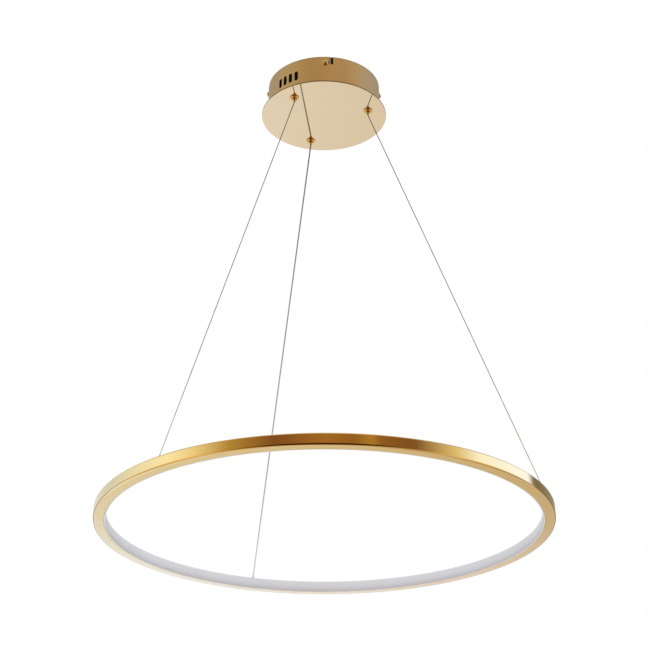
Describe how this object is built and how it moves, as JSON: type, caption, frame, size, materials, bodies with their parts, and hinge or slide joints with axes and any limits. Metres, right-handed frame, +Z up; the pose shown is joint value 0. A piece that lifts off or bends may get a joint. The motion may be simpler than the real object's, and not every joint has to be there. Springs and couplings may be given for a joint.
{
  "type": "led ring chandelier",
  "caption": "Slim horizontal LED ring hung on taut ropes from a round ceiling canopy; inward-facing diffuser, ropes run through grippers for height.",
  "frame": {"origin": "on the ceiling, at the middle of the canopy and its bracket", "axes": "+Z up, the lamp hangs down along -Z; +X to the right seen from the front; the front side screw is at -Y"},
  "size_m": [0.5999, 0.6, 0.691],
  "materials": {
    "mirror_gold": "polished, mirror-like pale gold plating",
    "satin_gold": "fine satin gold plating",
    "ring_gold": "glossy gold anodised aluminium",
    "screw_gold": "polished gold plating",
    "gripper_gold": "turned brass, satin",
    "nipple_gold": "turned brass, satin",
    "zinc_steel": "zinc-plated steel",
    "steel_rope": "stranded stainless steel rope",
    "power_rope": "stranded rope in a clear grey sheath",
    "opal": "opal satin polycarbonate",
    "driver_plastic": "white moulded plastic",
    "white_plastic": "white moulded nylon",
    "lead_sheath": "white flexible sheath",
    "black_rubber": "black rubber",
    "strip_board": "white flexible circuit board",
    "phosphor": "yellow LED phosphor in white packages"
  },
  "bodies": {
    "bracket": {"ceiling_bracket": "zinc_steel", "tab_nuts": "zinc_steel", "supply_grommet": "black_rubber", "earth_screw": "zinc_steel"},
    "canopy": {"canopy_wall": "satin_gold", "canopy_plate": "mirror_gold", "plate_studs": "zinc_steel", "plate_nuts": "zinc_steel", "lock_washers": "zinc_steel", "lock_nuts": "zinc_steel", "gripper_caps": "gripper_gold", "driver_case": "driver_plastic", "terminal_block": "white_plastic", "terminal_screws": "zinc_steel", "output_connector": "white_plastic", "mains_lead": "lead_sheath", "output_lead": "lead_sheath", "power_cable_tail": "power_rope", "rope_tail_left": "steel_rope", "rope_tail_right": "steel_rope", "power_cable": "power_rope", "rope_left": "steel_rope", "rope_right": "steel_rope", "gripper_body_left": "gripper_gold", "gripper_body_power": "gripper_gold", "gripper_body_right": "gripper_gold", "cage_spring_left": "zinc_steel", "cage_spring_power": "zinc_steel", "cage_spring_right": "zinc_steel"},
    "ring": {"ring_profile": "ring_gold", "diffuser": "opal", "led_strip": "strip_board", "led_chips": "phosphor", "ring_joiners": "zinc_steel", "joiner_screws": "zinc_steel", "nipple_nuts": "zinc_steel", "strip_lead": "lead_sheath", "nipple_left": "nipple_gold", "nipple_power": "nipple_gold", "nipple_right": "nipple_gold", "rope_end_left": "steel_rope", "rope_end_power": "power_rope", "rope_end_right": "steel_rope"},
    "screw_front": {"side_screw_front": "screw_gold"},
    "screw_right": {"side_screw_right": "screw_gold"},
    "screw_back": {"side_screw_back": "screw_gold"},
    "screw_left": {"side_screw_left": "screw_gold"},
    "plunger_left": {"release_plunger_left": "gripper_gold", "ball_cage_left": "gripper_gold", "cage_balls_left": "zinc_steel"},
    "plunger_power": {"release_plunger_power": "gripper_gold", "ball_cage_power": "gripper_gold", "cage_balls_power": "zinc_steel"},
    "plunger_right": {"release_plunger_right": "gripper_gold", "ball_cage_right": "gripper_gold", "cage_balls_right": "zinc_steel"}
  },
  "joints": [
    {"name": "canopy_turn", "type": "hinge", "parent": "bracket", "child": "canopy", "pos_m": [0, 0, -0.011], "axis": [0, 0, 1], "range_deg": [-5.9, 0]},
    {"name": "height_adjust", "type": "slide", "parent": "canopy", "child": "ring", "axis": [0, 0, 1], "range_m": [0, 0.4], "deforming": ["rope_left", "power_cable", "rope_right"]},
    {"name": "side_screw_front_turn", "type": "hinge", "parent": "bracket", "child": "screw_front", "pos_m": [0, -0.0825, -0.011], "axis": [0, -1, 0], "range_deg": [0, 360]},
    {"name": "side_screw_right_turn", "type": "hinge", "parent": "bracket", "child": "screw_right", "pos_m": [0.0825, 0, -0.011], "axis": [1, 0, 0], "range_deg": [0, 360]},
    {"name": "side_screw_back_turn", "type": "hinge", "parent": "bracket", "child": "screw_back", "pos_m": [0, 0.0825, -0.011], "axis": [0, 1, 0], "range_deg": [0, 360]},
    {"name": "side_screw_left_turn", "type": "hinge", "parent": "bracket", "child": "screw_left", "pos_m": [-0.0825, 0, -0.011], "axis": [-1, 0, 0], "range_deg": [0, 360]},
    {"name": "release_left", "type": "slide", "parent": "canopy", "child": "plunger_left", "axis": [0, 0, 1], "range_m": [0, 0.0014], "stiffness_N_per_m": 200, "springref_m": -0.003, "deforming": ["cage_spring_left"]},
    {"name": "release_power", "type": "slide", "parent": "canopy", "child": "plunger_power", "axis": [0, 0, 1], "range_m": [0, 0.0014], "stiffness_N_per_m": 200, "springref_m": -0.003, "deforming": ["cage_spring_power"]},
    {"name": "release_right", "type": "slide", "parent": "canopy", "child": "plunger_right", "axis": [0, 0, 1], "range_m": [0, 0.0014], "stiffness_N_per_m": 200, "springref_m": -0.003, "deforming": ["cage_spring_right"]}
  ]
}
